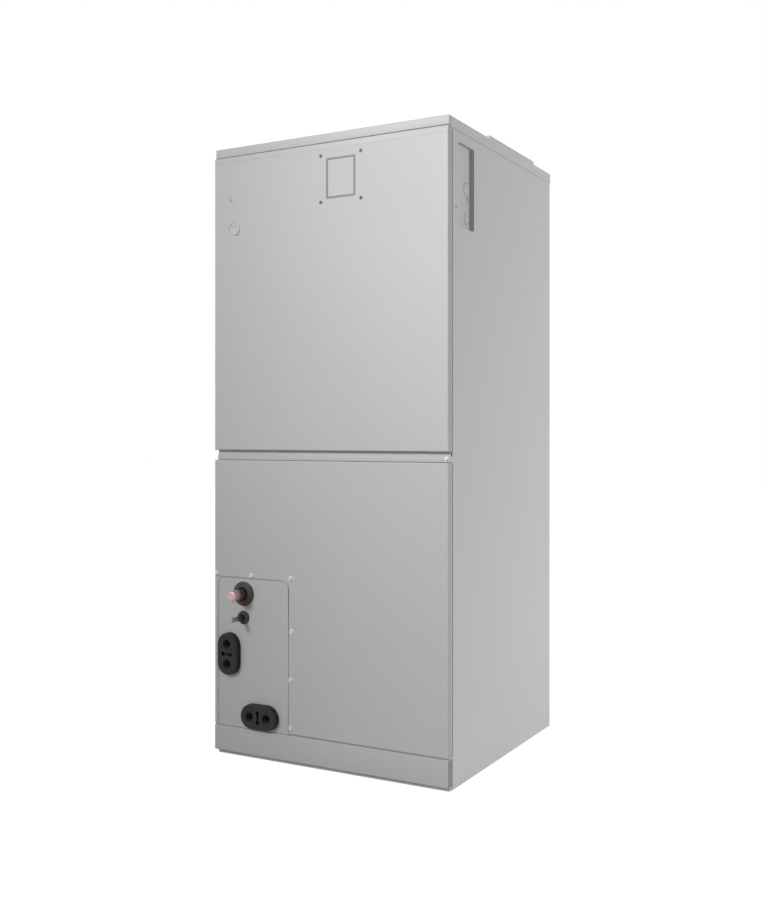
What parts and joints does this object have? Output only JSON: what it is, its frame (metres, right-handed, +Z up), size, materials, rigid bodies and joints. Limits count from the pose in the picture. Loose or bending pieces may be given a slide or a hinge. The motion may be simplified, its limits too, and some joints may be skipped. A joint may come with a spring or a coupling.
{
  "type": "vertical air handler cabinet",
  "caption": "Floor-standing ducted air handler cabinet with two front doors, a filter door, a supply collar on top, pipe stubs and drain ports.",
  "frame": {"origin": "on the floor under the middle of the cabinet", "axes": "+Z up, the doors face -Y, +X to the right seen from the front"},
  "size_m": [0.5334, 0.5774, 1.2636],
  "materials": {
    "cabinet_metal": "light grey pre-painted sheet steel, satin",
    "inner_steel": "galvanised, dull",
    "grommet_rubber": "black, matt",
    "drain_plastic": "black moulded plastic, fine grain",
    "copper": "copper tube, darkened near the plate, bright at the end",
    "insulation": "foil-faced fibre board",
    "motor_paint": "black, semi-gloss",
    "coil_fins": "thin pressed fins"
  },
  "bodies": {
    "root": {"base_frame": "cabinet_metal", "side_panel_left": "cabinet_metal", "side_panel_right": "cabinet_metal", "back_panel": "cabinet_metal", "top_cap": "cabinet_metal", "supply_collar": "cabinet_metal", "centre_rail": "cabinet_metal", "header_rail": "cabinet_metal", "upper_door": "cabinet_metal", "lower_door": "cabinet_metal", "filter_door": "cabinet_metal", "pipe_plate": "cabinet_metal", "wiring_recess": "cabinet_metal", "blower_deck": "inner_steel", "heater_blank_plate": "inner_steel", "blower_housing": "inner_steel", "motor_bracket": "inner_steel", "coil_end_plate_front": "inner_steel", "coil_end_plate_back": "inner_steel", "coil_apex_strip": "inner_steel", "coil_rail_left": "inner_steel", "coil_rail_right": "inner_steel", "filter_rail_left": "inner_steel", "filter_rail_right": "inner_steel", "filter_stop": "inner_steel", "blower_wheel": "inner_steel", "suction_grommet": "grommet_rubber", "liquid_grommet": "grommet_rubber", "drain_boss_side": "drain_plastic", "drain_boss_lower": "drain_plastic", "drain_pan": "drain_plastic", "side_drain_pan": "drain_plastic", "suction_line": "copper", "liquid_line": "copper", "liner_left": "insulation", "liner_right": "insulation", "liner_back": "insulation", "liner_upper_door": "insulation", "liner_lower_door": "insulation", "blower_motor": "motor_paint", "coil_slab_left": "coil_fins", "coil_slab_right": "coil_fins"}
  },
  "joints": []
}
